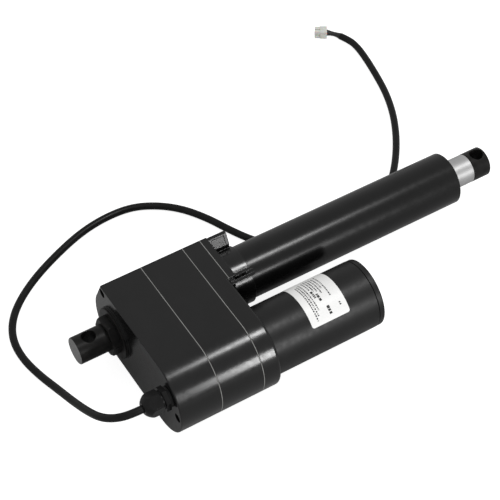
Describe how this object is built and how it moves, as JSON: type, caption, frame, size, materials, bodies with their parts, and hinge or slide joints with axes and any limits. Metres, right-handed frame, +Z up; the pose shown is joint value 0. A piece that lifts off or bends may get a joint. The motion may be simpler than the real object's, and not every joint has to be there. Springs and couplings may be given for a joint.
{
  "type": "linear actuator",
  "caption": "Electric linear actuator: offset motor and gear housing, round tube, sliding rod, cross-hole eyes at both ends and a free cord with a connector.",
  "frame": {"origin": "centre of the rear eye's cross hole, on the tube's axis", "axes": "+X along the rod, the way it extends; +Z up, along the eye holes; the motor lies on the -Y side"},
  "size_m": [0.4831, 0.3812, 0.075],
  "materials": {
    "casting_paint": "satin black paint over a die casting",
    "tube_paint": "smooth satin black coating",
    "motor_paint": "semi-matt black paint",
    "black_steel": "black oxide",
    "rod_steel": "ground and plated",
    "bright_steel": "machined",
    "bronze": "sintered bronze",
    "copper": "enamelled copper",
    "gasket_sheet": "pressed gasket sheet",
    "black_nylon": "moulded",
    "gear_nylon": "moulded",
    "seal_rubber": "soft",
    "cord_sheath": "extruded PVC",
    "connector_nylon": "translucent white",
    "label_film": "printed film, blank",
    "magnet_ferrite": "sintered",
    "board_green": "solder mask",
    "carbon": "pressed"
  },
  "bodies": {
    "housing": {"brush_holder": "black_nylon", "brushes": "carbon", "clamp_screw": "black_steel", "connector_housing": "connector_nylon", "connector_sleeve": "seal_rubber", "connector_terminals": "bright_steel", "cord": "cord_sheath", "cord_tail": "cord_sheath", "front_gasket": "gasket_sheet", "front_plate": "casting_paint", "gearbox_body": "casting_paint", "gland_body": "black_nylon", "gland_cap": "black_nylon", "gland_locknut": "black_nylon", "gland_ring": "seal_rubber", "gland_seal": "seal_rubber", "guide_bush": "bronze", "holder_gasket": "gasket_sheet", "holder_screws": "black_steel", "housing_screws": "black_steel", "idler_pin": "bright_steel", "limit_switches": "black_nylon", "magnets": "magnet_ferrite", "motor_can": "motor_paint", "motor_end_cap": "motor_paint", "motor_front_bearing": "bright_steel", "motor_rear_bearing": "bright_steel", "motor_screws": "black_steel", "outer_tube": "tube_paint", "rating_label": "label_film", "rear_cover": "casting_paint", "rear_eye": "black_steel", "rear_gasket": "gasket_sheet", "rear_inner_nut": "black_steel", "rear_lock_nut": "black_steel", "rear_washer": "black_steel", "rod_wiper": "seal_rubber", "screw_front_bearing": "bright_steel", "screw_rear_bearing": "bright_steel", "switch_board": "board_green", "tube_holder": "casting_paint", "tube_set_screw": "black_steel"},
    "rotor": {"motor_shaft": "bright_steel", "motor_pinion": "bright_steel", "armature_core": "bright_steel", "armature_windings": "copper", "commutator": "copper"},
    "idler": {"idler_gear": "gear_nylon", "idler_pinion": "bright_steel", "idler_bushes": "bronze"},
    "screw": {"lead_screw": "bright_steel", "final_gear": "bright_steel", "gear_key": "bright_steel", "screw_circlip": "bright_steel"},
    "rod": {"rod_tube": "rod_steel", "front_eye": "black_steel", "drive_nut": "bronze", "glide_ring": "gear_nylon"}
  },
  "joints": [
    {"name": "motor_spin", "type": "hinge", "parent": "housing", "child": "rotor", "pos_m": [0.15, -0.075, 0], "axis": [-1, 0, 0], "range_deg": [0, 126000]},
    {"name": "idler_spin", "type": "hinge", "parent": "housing", "child": "idler", "pos_m": [0.09, -0.0375, 0], "axis": [-1, 0, 0], "range_deg": [-42000, 0]},
    {"name": "screw_spin", "type": "hinge", "parent": "housing", "child": "screw", "pos_m": [0.09, 0, 0], "axis": [-1, 0, 0], "range_deg": [0, 18000]},
    {"name": "rod_slide", "type": "slide", "parent": "housing", "child": "rod", "axis": [1, 0, 0], "range_m": [0, 0.2]}
  ],
  "couplings": [
    {"joint": "idler_spin", "follows": "motor_spin", "ratio": -0.33333},
    {"joint": "screw_spin", "follows": "motor_spin", "ratio": 0.14286},
    {"joint": "rod_slide", "follows": "motor_spin", "m_per_rad": 0.000090946}
  ]
}
